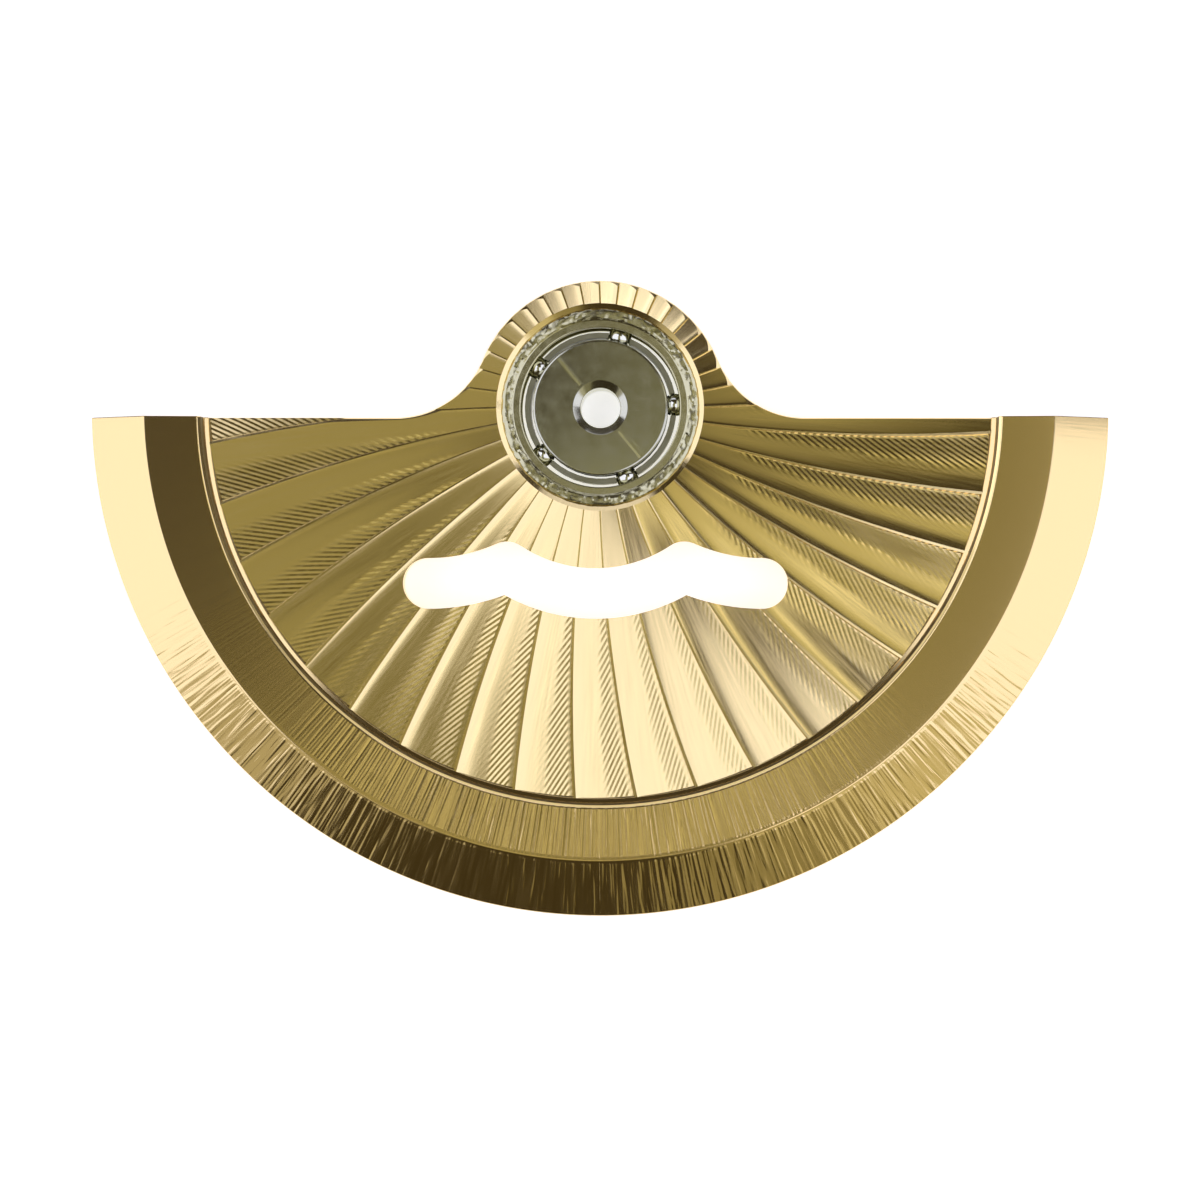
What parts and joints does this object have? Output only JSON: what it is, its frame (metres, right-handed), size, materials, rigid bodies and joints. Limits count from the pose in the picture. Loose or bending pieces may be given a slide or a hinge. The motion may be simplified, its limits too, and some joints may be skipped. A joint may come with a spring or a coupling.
{
  "type": "automatic watch rotor",
  "caption": "Half-round winding rotor on a ball bearing, with a heavy bevelled rim, a fan-cut carrier plate with a wavy slot, and drive teeth under the hub.",
  "frame": {"origin": "on the bearing's axis, in the face of the inner race that seats on the movement", "axes": "+Z along the axis towards the decorated side, +X along the straight edge, the weight hangs to -Y"},
  "size_m": [0.0264, 0.0165, 0.002],
  "materials": {
    "gold_fan": "gold plated, cut rays with fine hatching",
    "gold_rim": "gold plated, fine radial brushing",
    "rivet_steel": "turned flush",
    "ring_steel": "ground, with a staked collar",
    "race_steel": "polished, dark",
    "cage_bronze": "matt olive",
    "ball_steel": "polished"
  },
  "bodies": {
    "inner_race": {"bearing_core": "race_steel", "bearing_cone": "race_steel"},
    "rotor": {"carrier_plate": "gold_fan", "weight_rim": "gold_rim", "weight_rivets": "rivet_steel", "bearing_outer_ring": "ring_steel"},
    "cage": {"bearing_cage": "cage_bronze"},
    "ball_1": {"ball_1": "ball_steel"},
    "ball_2": {"ball_2": "ball_steel"},
    "ball_3": {"ball_3": "ball_steel"},
    "ball_4": {"ball_4": "ball_steel"},
    "ball_5": {"ball_5": "ball_steel"}
  },
  "joints": [
    {"name": "rotor_spin", "type": "hinge", "parent": "inner_race", "child": "rotor", "pos_m": [0, 0, 0.0006], "axis": [0, 0, 1], "continuous": true},
    {"name": "cage_orbit", "type": "hinge", "parent": "inner_race", "child": "cage", "pos_m": [0, 0, 0.0006], "axis": [0, 0, 1], "continuous": true},
    {"name": "ball_1_roll", "type": "hinge", "parent": "cage", "child": "ball_1", "pos_m": [0.00193, 0.0001, 0.0006], "axis": [0, 0, 1], "continuous": true},
    {"name": "ball_2_roll", "type": "hinge", "parent": "cage", "child": "ball_2", "pos_m": [0.0005, 0.00186, 0.0006], "axis": [0, 0, 1], "continuous": true},
    {"name": "ball_3_roll", "type": "hinge", "parent": "cage", "child": "ball_3", "pos_m": [-0.00162, 0.00105, 0.0006], "axis": [0, 0, 1], "continuous": true},
    {"name": "ball_4_roll", "type": "hinge", "parent": "cage", "child": "ball_4", "pos_m": [-0.0015, -0.00121, 0.0006], "axis": [0, 0, 1], "continuous": true},
    {"name": "ball_5_roll", "type": "hinge", "parent": "cage", "child": "ball_5", "pos_m": [0.00069, -0.0018, 0.0006], "axis": [0, 0, 1], "continuous": true}
  ],
  "couplings": [
    {"joint": "cage_orbit", "follows": "rotor_spin", "ratio": 0.57772},
    {"joint": "ball_1_roll", "follows": "rotor_spin", "ratio": 3.1389},
    {"joint": "ball_2_roll", "follows": "rotor_spin", "ratio": 3.1389},
    {"joint": "ball_3_roll", "follows": "rotor_spin", "ratio": 3.1389},
    {"joint": "ball_4_roll", "follows": "rotor_spin", "ratio": 3.1389},
    {"joint": "ball_5_roll", "follows": "rotor_spin", "ratio": 3.1389}
  ]
}
